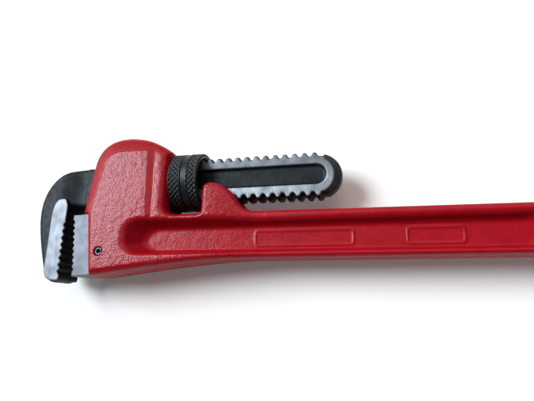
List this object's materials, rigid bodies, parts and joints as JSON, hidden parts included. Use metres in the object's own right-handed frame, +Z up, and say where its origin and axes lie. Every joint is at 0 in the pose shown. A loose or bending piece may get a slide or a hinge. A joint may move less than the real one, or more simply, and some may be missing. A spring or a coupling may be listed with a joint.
{
  "type": "pipe wrench",
  "caption": "Heavy-duty pipe wrench: red cast I-beam handle with housing, black toothed hook jaw on a threaded shank, knurled adjusting nut and a pinned steel heel jaw.",
  "frame": {"origin": "centre of the bottom of the bounding box, the wrench lying on its side", "axes": "+X along the handle from the jaws to the hanging hole, +Y from the heel of the head to its crown, +Z up across the thickness"},
  "size_m": [0.2924, 0.0774, 0.031],
  "materials": {
    "red_enamel": "gloss red enamel over rough casting",
    "ground_steel": "bare ground steel",
    "spring_steel": "oiled spring steel",
    "black_forging": "black phosphated forging with ground faces",
    "black_nut": "black phosphated, knurled"
  },
  "bodies": {
    "handle": {"handle": "red_enamel", "heel_jaw": "ground_steel", "heel_jaw_pin": "spring_steel", "coil_spring": "spring_steel"},
    "spring_carrier": {"flat_spring": "spring_steel", "spring_rivet": "spring_steel"},
    "adjusting_nut": {"adjusting_nut": "black_nut"},
    "hook_jaw": {"hook_jaw": "black_forging"}
  },
  "joints": [
    {"name": "jaw_rock", "type": "hinge", "parent": "handle", "child": "spring_carrier", "pos_m": [-0.10975, 0.00095, 0.0155], "axis": [0, 0, 1], "range_deg": [-2.5, 0], "stiffness_Nm_per_rad": 6, "springref_deg": 2.86, "deforming": ["coil_spring"]},
    {"name": "jaw_slide", "type": "slide", "parent": "spring_carrier", "child": "hook_jaw", "axis": [-1, 0, 0], "range_m": [-0.004, 0.055]},
    {"name": "nut_spin", "type": "hinge", "parent": "spring_carrier", "child": "adjusting_nut", "pos_m": [-0.05735, 0.0133, 0.0155], "axis": [1, 0, 0], "range_deg": [-292, 3970]}
  ],
  "couplings": [
    {"joint": "nut_spin", "follows": "jaw_slide", "rad_per_m": 1256.6}
  ]
}
